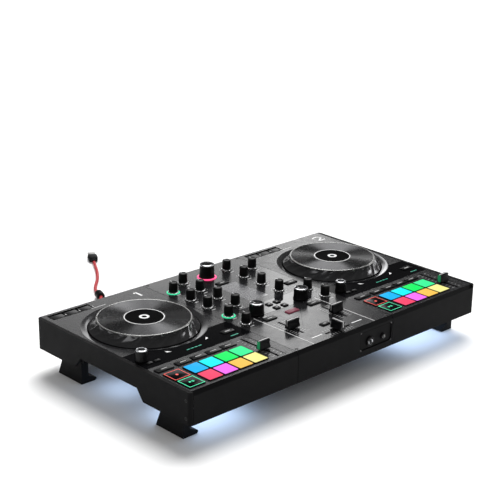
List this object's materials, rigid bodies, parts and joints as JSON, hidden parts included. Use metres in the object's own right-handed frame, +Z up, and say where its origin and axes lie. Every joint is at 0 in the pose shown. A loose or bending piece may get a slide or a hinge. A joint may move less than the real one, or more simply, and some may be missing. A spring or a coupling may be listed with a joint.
{
  "type": "dj controller",
  "caption": "Flat dual-deck controller with jog wheels, pads, faders and knobs on a dark casing, standing on folding legs, with its USB lead.",
  "frame": {"origin": "on the table, under the middle of the casing", "axes": "+X along the width to the right-hand deck, +Y from the front edge to the rear sockets, +Z up"},
  "size_m": [0.536, 0.6218, 0.094],
  "materials": {
    "casing": "fine matte moulding",
    "top_plate": "semi-gloss dark grey moulding",
    "knob_rubber": "soft-touch matte black",
    "fader_black": "satin black",
    "gloss_black": "gloss black keys with printed marks",
    "pad_silicone": "translucent silicone, lit from below",
    "wheel_grey": "dark satin metallic",
    "silver": "satin silver",
    "foot_rubber": "matte black",
    "circuit_board": "solder-mask green",
    "plug_black": "matte black",
    "cord_red": "satin red jacket"
  },
  "bodies": {
    "casing": {"bottom_pan": "casing", "deck_cover_left": "top_plate", "deck_cover_right": "top_plate", "ferrite_bead": "plug_black", "headphone_jacks": "plug_black", "main_board": "circuit_board", "mixer_cover": "top_plate", "rear_sockets": "plug_black", "side_cheek_left": "casing", "side_cheek_right": "casing", "side_frame_left": "casing", "side_frame_right": "casing", "usb_computer_plug": "plug_black", "usb_cord_coil": "cord_red", "usb_cord_far": "cord_red", "usb_cord_near": "cord_red", "usb_device_plug": "plug_black"},
    "jog_wheel_left": {"jog_wheel_left": "wheel_grey"},
    "jog_wheel_right": {"jog_wheel_right": "wheel_grey"},
    "leg_front_left": {"leg_front_left": "foot_rubber"},
    "leg_front_right": {"leg_front_right": "foot_rubber"},
    "leg_back_left": {"leg_back_left": "foot_rubber"},
    "leg_back_right": {"leg_back_right": "foot_rubber"},
    "crossfader": {"crossfader": "fader_black"},
    "channel_fader_left": {"channel_fader_left": "fader_black"},
    "channel_fader_right": {"channel_fader_right": "fader_black"},
    "tempo_fader_left": {"tempo_fader_left": "fader_black"},
    "tempo_fader_right": {"tempo_fader_right": "fader_black"},
    "cue_key_left": {"cue_key_left": "gloss_black"},
    "play_key_left": {"play_key_left": "gloss_black"},
    "cue_key_right": {"cue_key_right": "gloss_black"},
    "play_key_right": {"play_key_right": "gloss_black"},
    "pad_mat_left": {"pad_mat_left": "pad_silicone"},
    "pad_mat_right": {"pad_mat_right": "pad_silicone"},
    "deck_keys_left": {"deck_keys_left": "gloss_black"},
    "deck_keys_right": {"deck_keys_right": "gloss_black"},
    "mixer_keys": {"mixer_keys": "gloss_black"},
    "top_key_strip_left": {"top_key_strip_left": "gloss_black"},
    "top_key_strip_right": {"top_key_strip_right": "gloss_black"},
    "browse_knob": {"browse_knob": "knob_rubber"},
    "loop_knob_left": {"loop_knob_left": "silver"},
    "loop_knob_right": {"loop_knob_right": "silver"},
    "level_knob_left": {"level_knob_left": "knob_rubber"},
    "level_knob_right": {"level_knob_right": "knob_rubber"},
    "knob_left_inner_1": {"knob_left_inner_1": "knob_rubber"},
    "knob_left_inner_2": {"knob_left_inner_2": "knob_rubber"},
    "knob_left_inner_3": {"knob_left_inner_3": "knob_rubber"},
    "knob_left_inner_4": {"knob_left_inner_4": "knob_rubber"},
    "knob_left_outer_1": {"knob_left_outer_1": "knob_rubber"},
    "knob_left_outer_2": {"knob_left_outer_2": "knob_rubber"},
    "knob_left_outer_3": {"knob_left_outer_3": "knob_rubber"},
    "knob_left_outer_4": {"knob_left_outer_4": "knob_rubber"},
    "knob_left_outer_5": {"knob_left_outer_5": "knob_rubber"},
    "knob_right_inner_1": {"knob_right_inner_1": "knob_rubber"},
    "knob_right_inner_2": {"knob_right_inner_2": "knob_rubber"},
    "knob_right_inner_3": {"knob_right_inner_3": "knob_rubber"},
    "knob_right_inner_4": {"knob_right_inner_4": "knob_rubber"},
    "knob_right_outer_1": {"knob_right_outer_1": "knob_rubber"},
    "knob_right_outer_2": {"knob_right_outer_2": "knob_rubber"},
    "knob_right_outer_3": {"knob_right_outer_3": "knob_rubber"}
  },
  "joints": [
    {"name": "jog_wheel_left_turn", "type": "hinge", "parent": "casing", "child": "jog_wheel_left", "pos_m": [-0.178, 0.041, 0.08], "axis": [0, 0, 1], "continuous": true},
    {"name": "jog_wheel_right_turn", "type": "hinge", "parent": "casing", "child": "jog_wheel_right", "pos_m": [0.178, 0.041, 0.08], "axis": [0, 0, 1], "continuous": true},
    {"name": "leg_front_left_turn", "type": "hinge", "parent": "casing", "child": "leg_front_left", "pos_m": [-0.25, -0.1005, 0.036], "axis": [0, -1, 0], "range_deg": [0, 90]},
    {"name": "leg_front_right_turn", "type": "hinge", "parent": "casing", "child": "leg_front_right", "pos_m": [0.25, -0.1005, 0.036], "axis": [0, 1, 0], "range_deg": [0, 90]},
    {"name": "leg_back_left_turn", "type": "hinge", "parent": "casing", "child": "leg_back_left", "pos_m": [-0.25, 0.1005, 0.036], "axis": [0, -1, 0], "range_deg": [0, 90]},
    {"name": "leg_back_right_turn", "type": "hinge", "parent": "casing", "child": "leg_back_right", "pos_m": [0.25, 0.1005, 0.036], "axis": [0, 1, 0], "range_deg": [0, 90]},
    {"name": "crossfader_slide", "type": "slide", "parent": "casing", "child": "crossfader", "axis": [1, 0, 0], "range_m": [-0.0205, 0.0205]},
    {"name": "channel_fader_left_slide", "type": "slide", "parent": "casing", "child": "channel_fader_left", "axis": [0, 1, 0], "range_m": [-0.0185, 0.0245]},
    {"name": "channel_fader_right_slide", "type": "slide", "parent": "casing", "child": "channel_fader_right", "axis": [0, 1, 0], "range_m": [-0.0185, 0.0245]},
    {"name": "tempo_fader_left_slide", "type": "slide", "parent": "casing", "child": "tempo_fader_left", "axis": [0, 1, 0], "range_m": [-0.025, 0.039]},
    {"name": "tempo_fader_right_slide", "type": "slide", "parent": "casing", "child": "tempo_fader_right", "axis": [0, 1, 0], "range_m": [-0.025, 0.039]},
    {"name": "cue_key_left_press", "type": "slide", "parent": "casing", "child": "cue_key_left", "axis": [0, 0, 1], "range_m": [-0.0008, 0], "stiffness_N_per_m": 400, "springref_m": 0.001},
    {"name": "play_key_left_press", "type": "slide", "parent": "casing", "child": "play_key_left", "axis": [0, 0, 1], "range_m": [-0.0008, 0], "stiffness_N_per_m": 400, "springref_m": 0.001},
    {"name": "cue_key_right_press", "type": "slide", "parent": "casing", "child": "cue_key_right", "axis": [0, 0, 1], "range_m": [-0.0008, 0], "stiffness_N_per_m": 400, "springref_m": 0.001},
    {"name": "play_key_right_press", "type": "slide", "parent": "casing", "child": "play_key_right", "axis": [0, 0, 1], "range_m": [-0.0008, 0], "stiffness_N_per_m": 400, "springref_m": 0.001},
    {"name": "pad_mat_left_press", "type": "slide", "parent": "casing", "child": "pad_mat_left", "axis": [0, 0, 1], "range_m": [-0.0008, 0], "stiffness_N_per_m": 1500, "springref_m": 0.001},
    {"name": "pad_mat_right_press", "type": "slide", "parent": "casing", "child": "pad_mat_right", "axis": [0, 0, 1], "range_m": [-0.0008, 0], "stiffness_N_per_m": 1500, "springref_m": 0.001},
    {"name": "deck_keys_left_press", "type": "slide", "parent": "casing", "child": "deck_keys_left", "axis": [0, 0, 1], "range_m": [-0.0008, 0], "stiffness_N_per_m": 500, "springref_m": 0.001},
    {"name": "deck_keys_right_press", "type": "slide", "parent": "casing", "child": "deck_keys_right", "axis": [0, 0, 1], "range_m": [-0.0008, 0], "stiffness_N_per_m": 500, "springref_m": 0.001},
    {"name": "mixer_keys_press", "type": "slide", "parent": "casing", "child": "mixer_keys", "axis": [0, 0, 1], "range_m": [-0.0008, 0], "stiffness_N_per_m": 500, "springref_m": 0.001},
    {"name": "top_key_strip_left_press", "type": "slide", "parent": "casing", "child": "top_key_strip_left", "axis": [0, 0, 1], "range_m": [-0.0008, 0], "stiffness_N_per_m": 500, "springref_m": 0.001},
    {"name": "top_key_strip_right_press", "type": "slide", "parent": "casing", "child": "top_key_strip_right", "axis": [0, 0, 1], "range_m": [-0.0008, 0], "stiffness_N_per_m": 500, "springref_m": 0.001},
    {"name": "browse_knob_turn", "type": "hinge", "parent": "casing", "child": "browse_knob", "pos_m": [0, 0.119, 0.08], "axis": [0, 0, 1], "continuous": true},
    {"name": "loop_knob_left_turn", "type": "hinge", "parent": "casing", "child": "loop_knob_left", "pos_m": [-0.2514, -0.044, 0.08], "axis": [0, 0, 1], "continuous": true},
    {"name": "loop_knob_right_turn", "type": "hinge", "parent": "casing", "child": "loop_knob_right", "pos_m": [0.1046, -0.044, 0.08], "axis": [0, 0, 1], "continuous": true},
    {"name": "level_knob_left_turn", "type": "hinge", "parent": "casing", "child": "level_knob_left", "pos_m": [-0.042, -0.0275, 0.08], "axis": [0, 0, 1], "range_deg": [-150, 150]},
    {"name": "level_knob_right_turn", "type": "hinge", "parent": "casing", "child": "level_knob_right", "pos_m": [0.042, -0.0275, 0.08], "axis": [0, 0, 1], "range_deg": [-150, 150]},
    {"name": "knob_left_inner_1_turn", "type": "hinge", "parent": "casing", "child": "knob_left_inner_1", "pos_m": [-0.0417, 0.123, 0.08], "axis": [0, 0, 1], "range_deg": [-150, 150]},
    {"name": "knob_left_inner_2_turn", "type": "hinge", "parent": "casing", "child": "knob_left_inner_2", "pos_m": [-0.0417, 0.0865, 0.08], "axis": [0, 0, 1], "range_deg": [-150, 150]},
    {"name": "knob_left_inner_3_turn", "type": "hinge", "parent": "casing", "child": "knob_left_inner_3", "pos_m": [-0.0417, 0.05, 0.08], "axis": [0, 0, 1], "range_deg": [-150, 150]},
    {"name": "knob_left_inner_4_turn", "type": "hinge", "parent": "casing", "child": "knob_left_inner_4", "pos_m": [-0.0417, 0.0145, 0.08], "axis": [0, 0, 1], "range_deg": [-150, 150]},
    {"name": "knob_left_outer_1_turn", "type": "hinge", "parent": "casing", "child": "knob_left_outer_1", "pos_m": [-0.075, 0.1045, 0.08], "axis": [0, 0, 1], "range_deg": [-150, 150]},
    {"name": "knob_left_outer_2_turn", "type": "hinge", "parent": "casing", "child": "knob_left_outer_2", "pos_m": [-0.075, 0.068, 0.08], "axis": [0, 0, 1], "range_deg": [-150, 150]},
    {"name": "knob_left_outer_3_turn", "type": "hinge", "parent": "casing", "child": "knob_left_outer_3", "pos_m": [-0.075, 0.033, 0.08], "axis": [0, 0, 1], "range_deg": [-150, 150]},
    {"name": "knob_left_outer_4_turn", "type": "hinge", "parent": "casing", "child": "knob_left_outer_4", "pos_m": [-0.075, -0.0085, 0.08], "axis": [0, 0, 1], "range_deg": [-150, 150]},
    {"name": "knob_left_outer_5_turn", "type": "hinge", "parent": "casing", "child": "knob_left_outer_5", "pos_m": [-0.075, -0.042, 0.08], "axis": [0, 0, 1], "range_deg": [-150, 150]},
    {"name": "knob_right_inner_1_turn", "type": "hinge", "parent": "casing", "child": "knob_right_inner_1", "pos_m": [0.0417, 0.123, 0.08], "axis": [0, 0, 1], "range_deg": [-150, 150]},
    {"name": "knob_right_inner_2_turn", "type": "hinge", "parent": "casing", "child": "knob_right_inner_2", "pos_m": [0.0417, 0.0865, 0.08], "axis": [0, 0, 1], "range_deg": [-150, 150]},
    {"name": "knob_right_inner_3_turn", "type": "hinge", "parent": "casing", "child": "knob_right_inner_3", "pos_m": [0.0417, 0.05, 0.08], "axis": [0, 0, 1], "range_deg": [-150, 150]},
    {"name": "knob_right_inner_4_turn", "type": "hinge", "parent": "casing", "child": "knob_right_inner_4", "pos_m": [0.0417, 0.0145, 0.08], "axis": [0, 0, 1], "range_deg": [-150, 150]},
    {"name": "knob_right_outer_1_turn", "type": "hinge", "parent": "casing", "child": "knob_right_outer_1", "pos_m": [0.075, 0.1045, 0.08], "axis": [0, 0, 1], "range_deg": [-150, 150]},
    {"name": "knob_right_outer_2_turn", "type": "hinge", "parent": "casing", "child": "knob_right_outer_2", "pos_m": [0.075, -0.0085, 0.08], "axis": [0, 0, 1], "range_deg": [-150, 150]},
    {"name": "knob_right_outer_3_turn", "type": "hinge", "parent": "casing", "child": "knob_right_outer_3", "pos_m": [0.075, -0.042, 0.08], "axis": [0, 0, 1], "range_deg": [-150, 150]}
  ]
}
